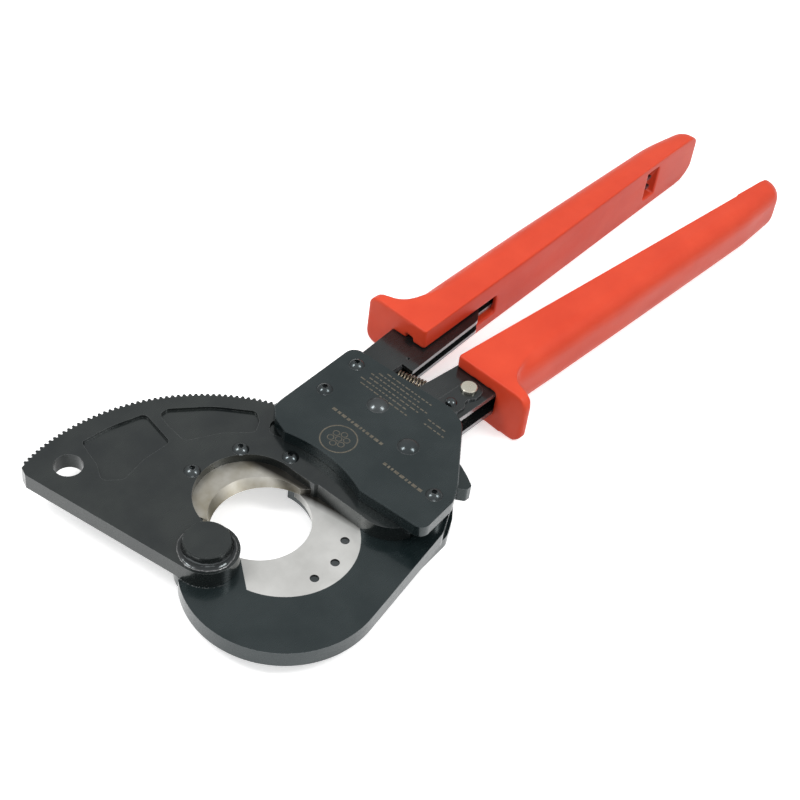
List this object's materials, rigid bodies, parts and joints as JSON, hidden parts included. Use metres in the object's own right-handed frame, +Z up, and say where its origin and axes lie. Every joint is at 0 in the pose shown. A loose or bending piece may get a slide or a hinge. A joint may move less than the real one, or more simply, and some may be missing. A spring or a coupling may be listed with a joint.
{
  "type": "ratcheting cable cutter",
  "caption": "Two-handed ratcheting cable cutter: a toothed moving jaw is stepped by a pawl into a hooked fixed jaw, lying flat.",
  "frame": {"origin": "centre of the bounding box, at the bottom, on the surface the tool lies on", "axes": "+X towards the jaws along the handles, +Z up through the plates, along every pivot"},
  "size_m": [0.428, 0.1572, 0.0306],
  "materials": {
    "black_plate": "glossy black oxide",
    "dark_jaw": "glossy black oxide",
    "blade_steel": "ground and lightly brushed",
    "black_screw": "polished black oxide",
    "pivot_steel": "turned black oxide",
    "bronze": "turned",
    "arm_steel": "glossy black oxide",
    "spring_steel": "oiled dark wire",
    "zinc_pin": "zinc plated",
    "spacer_steel": "turned",
    "orange_grip": "moulded orange-red vinyl"
  },
  "bodies": {
    "head": {"fixed_jaw": "black_plate", "fixed_blade": "blade_steel", "fixed_blade_screws": "black_screw", "jaw_pivot_bush": "bronze", "top_cover": "black_plate", "bottom_cover": "black_plate", "cover_screws": "black_screw", "cover_spacers": "spacer_steel", "arm_spacers": "spacer_steel", "handle_pivot_pin": "black_screw", "pawl_pivot_pin": "black_screw", "fixed_arm": "arm_steel", "lug_bush": "spacer_steel", "spring_seat": "arm_steel", "fixed_grip": "orange_grip", "return_spring": "spring_steel", "holding_pawl_spring": "spring_steel"},
    "moving_jaw": {"moving_jaw": "dark_jaw", "moving_blade": "blade_steel", "moving_blade_screws": "black_screw", "jaw_pivot_pin": "pivot_steel", "jaw_pin_clip": "spacer_steel"},
    "moving_handle": {"moving_arm": "arm_steel", "moving_grip": "orange_grip", "drive_pawl_pin": "spacer_steel", "lock_pin": "zinc_pin", "drive_pawl_spring": "spring_steel"},
    "drive_pawl": {"drive_pawl": "spacer_steel"},
    "holding_pawl": {"holding_pawl": "black_plate"},
    "lock_lever": {"lock_lever": "arm_steel", "lock_stud": "black_screw"}
  },
  "joints": [
    {"name": "moving_jaw_pivot", "type": "hinge", "parent": "head", "child": "moving_jaw", "pos_m": [0.185, 0.0114, 0.014], "axis": [0, 0, 1], "range_deg": [-60, 100]},
    {"name": "handle_pivot", "type": "hinge", "parent": "head", "child": "moving_handle", "pos_m": [0.0772, 0.0043, 0.014], "axis": [0, 0, 1], "range_deg": [-12, 9], "stiffness_Nm_per_rad": 4, "deforming": ["return_spring"]},
    {"name": "drive_pawl_pivot", "type": "hinge", "parent": "moving_handle", "child": "drive_pawl", "pos_m": [0.0868, -0.0021, 0.012], "axis": [0, 0, 1], "range_deg": [0, 12], "stiffness_Nm_per_rad": 0.01, "deforming": ["drive_pawl_spring"]},
    {"name": "holding_pawl_pivot", "type": "hinge", "parent": "head", "child": "holding_pawl", "pos_m": [0.0858, 0.0307, 0.018], "axis": [0, 0, 1], "range_deg": [0, 12], "stiffness_Nm_per_rad": 0.05, "deforming": ["holding_pawl_spring"]},
    {"name": "lock_lever_pivot", "type": "hinge", "parent": "moving_handle", "child": "lock_lever", "pos_m": [0.033, 0.0206, 0.0214], "axis": [0, 0, 1], "range_deg": [-95, 0]}
  ]
}
